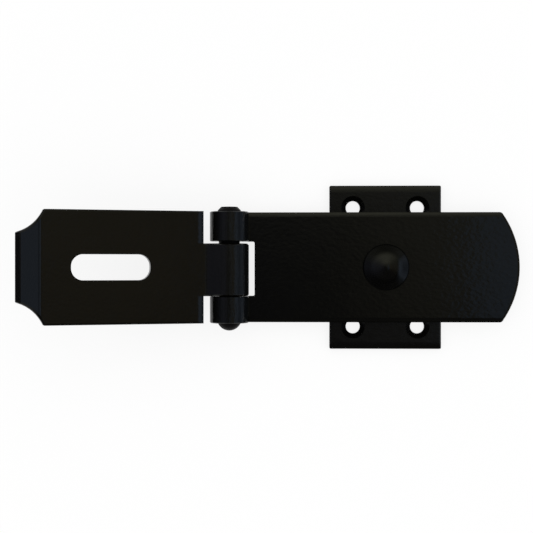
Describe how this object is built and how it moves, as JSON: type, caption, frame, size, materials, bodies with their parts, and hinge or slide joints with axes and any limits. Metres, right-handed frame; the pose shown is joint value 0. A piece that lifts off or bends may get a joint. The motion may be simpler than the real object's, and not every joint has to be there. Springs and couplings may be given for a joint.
{
  "type": "padlock locking bar",
  "caption": "Black coated steel hasp locking bar: slotted flap with a turned-up lip, hinged to a round-ended bar that swivels on a countersunk fixing plate to cover its screws.",
  "frame": {"origin": "on the swivel axis, on the back face of the fixing plate that lies against the door", "axes": "+X towards the rounded end of the bar, +Y along the hinge pin, +Z away from the door"},
  "size_m": [0.1943, 0.066, 0.0419],
  "materials": {
    "black_coated_steel": "gloss black coating with a fine orange peel over steel"
  },
  "bodies": {
    "plate": {"fixing_plate": "black_coated_steel", "pivot_rivet": "black_coated_steel"},
    "bar": {"locking_bar": "black_coated_steel", "hinge_pin": "black_coated_steel"},
    "flap": {"hasp_flap": "black_coated_steel"}
  },
  "joints": [
    {"name": "bar_swivel", "type": "hinge", "parent": "plate", "child": "bar", "pos_m": [0, 0, 0], "axis": [0, 0, 1], "continuous": true},
    {"name": "flap_hinge", "type": "hinge", "parent": "bar", "child": "flap", "pos_m": [-0.0626, 0, 0.01085], "axis": [0, 1, 0], "range_deg": [-24.5, 160]}
  ]
}
